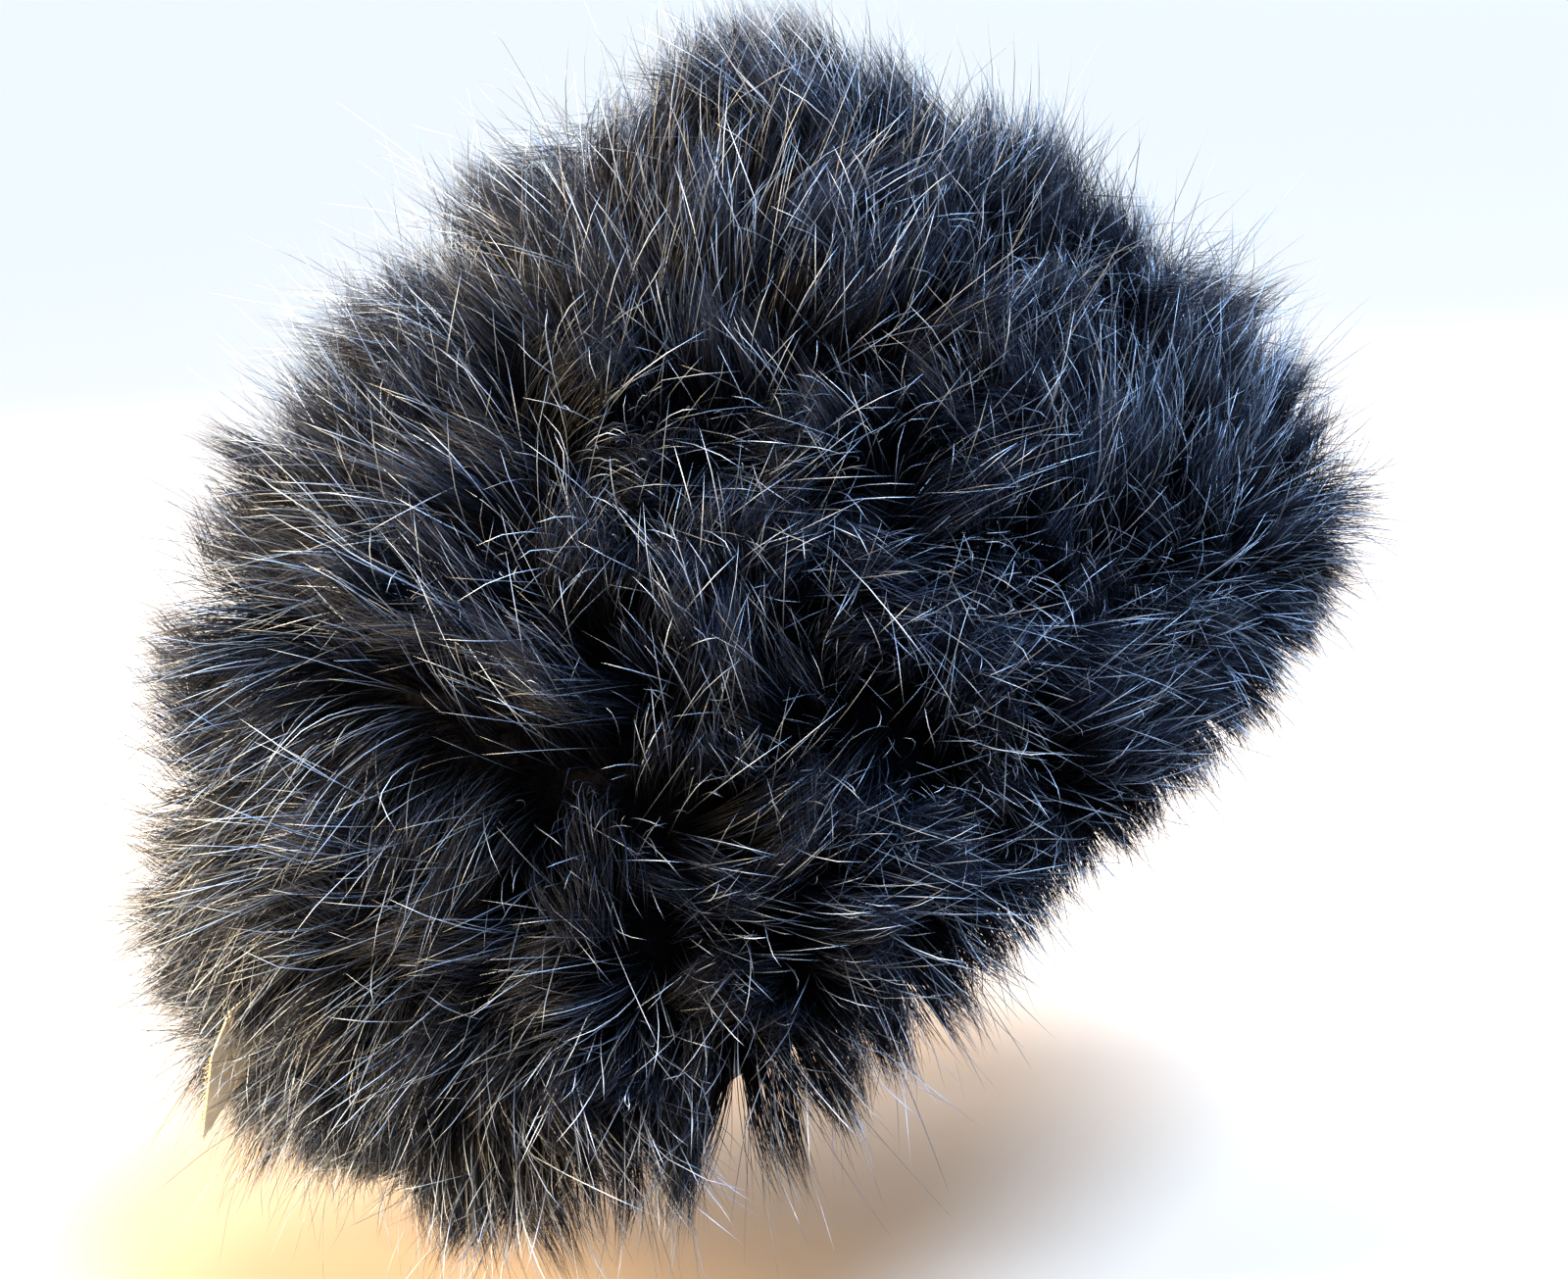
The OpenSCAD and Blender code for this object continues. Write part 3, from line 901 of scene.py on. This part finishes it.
def frayed_edge():
    """Loose ends of thread along the label's slanting cut."""
    n = 70
    b = np.linspace(0.02, 0.99, n)
    start = label_point(np.full(n, 0.97), b, FLAP_CORNERS) + np.array([1, 0, 0]) * curl_aside(1, b)[:, None]
    way = unit(np.array([0, 1, -0.35]) + rng.normal(size=(n, 3)) * 0.25)
    s = np.linspace(0, 1, 5)[None, :, None]
    long = rng.uniform(0.5, 1.6, (n, 1, 1)) * MM
    paths = start[:, None] + way[:, None] * long * s + rng.normal(size=(n, 1, 3)) * 0.25 * MM * s ** 2
    mesh = strands("label_frayed_edge", paths, np.full((n, 5), 0.13 * MM), rng.uniform(0, 1, n))
    return put(new_object("label_frayed_edge", mesh), PALE_THREAD, LABEL, "thread")


frayed_edge()
for slot in frame["nodes"]["label_stitch"].material_slots:
    slot.material = PALE_THREAD


# ---------------------------------------------------------------- stage, lights and camera
FLOOR_GAP, FLOOR_HALF = 0.5 * MM, 60.0


def add_floor():
    """A plain floor. The key light is strong, so a floor this dark renders pale."""
    z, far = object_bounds()[0][2] - FLOOR_GAP, FLOOR_HALF
    mesh = bpy.data.meshes.new("floor")
    mesh.from_pydata([(-far, -far, z), (far, -far, z), (far, far, z), (-far, far, z)], [], [(0, 1, 2, 3)])
    look = Look("floor", Base_Color=(0.246, 0.198, 0.168, 1), Roughness=0.9)
    mesh.materials.append(look.material)
    new_object("floor", mesh)


def add_world():
    """A pale room, a little warm on one side and cool on the other."""
    world = bpy.data.worlds.new("studio")
    world.use_nodes = True
    nodes, links = world.node_tree.nodes, world.node_tree.links
    way = nodes.new("ShaderNodeTexCoord")
    side = nodes.new("ShaderNodeVectorMath")
    side.operation = "DOT_PRODUCT"
    side.inputs[1].default_value = toward(COOL_SIDE, 0)
    ramp = nodes.new("ShaderNodeMapRange")
    ramp.inputs["From Min"].default_value, ramp.inputs["From Max"].default_value = -0.24, 0.24
    tint = nodes.new("ShaderNodeMix")
    tint.data_type = "RGBA"
    tint.inputs["A"].default_value = (1.0, 0.985, 0.955, 1)
    tint.inputs["B"].default_value = (0.94, 0.975, 1.0, 1)
    links.new(way.outputs["Generated"], side.inputs[0])
    links.new(side.outputs["Value"], ramp.inputs["Value"])
    links.new(ramp.outputs["Result"], tint.inputs["Factor"])
    links.new(tint.outputs["Result"], nodes["Background"].inputs["Color"])
    nodes["Background"].inputs["Strength"].default_value = 1.0
    bpy.context.scene.world = world
    bpy.context.scene.view_settings.view_transform = "Standard"


COOL_SIDE = 324.7  # azimuth
CENTRE = Vector((0, 0.010, -0.100))


def toward(azimuth, elevation):
    """A direction from the hood's middle. Azimuth 0 is in front of the face, and 90 is the wearer's left."""
    a, e = math.radians(azimuth), math.radians(elevation)
    return Vector((math.sin(a) * math.cos(e), -math.cos(a) * math.cos(e), math.sin(e)))


def area_light(name, azimuth, elevation, distance, size, power, colour):
    """A soft lamp close by, aimed at the hood's middle."""
    data = bpy.data.lights.new(name, "AREA")
    data.size, data.energy, data.color = size, power, colour
    lamp = new_object(name, data)
    lamp.location = CENTRE + toward(azimuth, elevation) * distance
    lamp.rotation_euler = (-toward(azimuth, elevation)).to_track_quat("-Z", "Y").to_euler()


def sky_light(name, azimuth, elevation, strength, colour):
    """A soft light from far away, so that the floor has one tone all over."""
    data = bpy.data.lights.new(name, "SUN")
    data.angle, data.energy, data.color = 0.5, strength, colour
    lamp = new_object(name, data)
    lamp.rotation_euler = (-toward(azimuth, elevation)).to_track_quat("-Z", "Y").to_euler()


def add_camera():
    """Behind the wearer's right shoulder, a little above the middle of the hood."""
    azimuth, elevation, roll, distance = 234.7, 12.8, -3.36, 0.70
    camera = new_object("camera", bpy.data.cameras.new("camera"))
    camera.data.lens, camera.data.sensor_width = 77.5, 36
    back = toward(azimuth, elevation)
    right = (-back).cross(Vector((0, 0, 1))).normalized()
    aim = CENTRE + right * 3.4 * MM + right.cross(-back) * 11.8 * MM
    camera.location = CENTRE + back * distance
    look = (aim - camera.location).to_track_quat("-Z", "Y").to_matrix().to_4x4()
    camera.rotation_euler = (look @ Matrix.Rotation(math.radians(roll), 4, "Z")).to_euler()
    bpy.context.scene.camera = camera


add_floor()
add_world()
sky_light("key", 298, 68, 15.5, (0.50, 0.74, 1.0))
area_light("warm_side", 160, 14, 0.9, 0.5, 84, (1.0, 0.70, 0.35))
area_light("far_side", 60, 38, 1.1, 0.7, 26, (1.0, 0.97, 0.93))
add_camera()
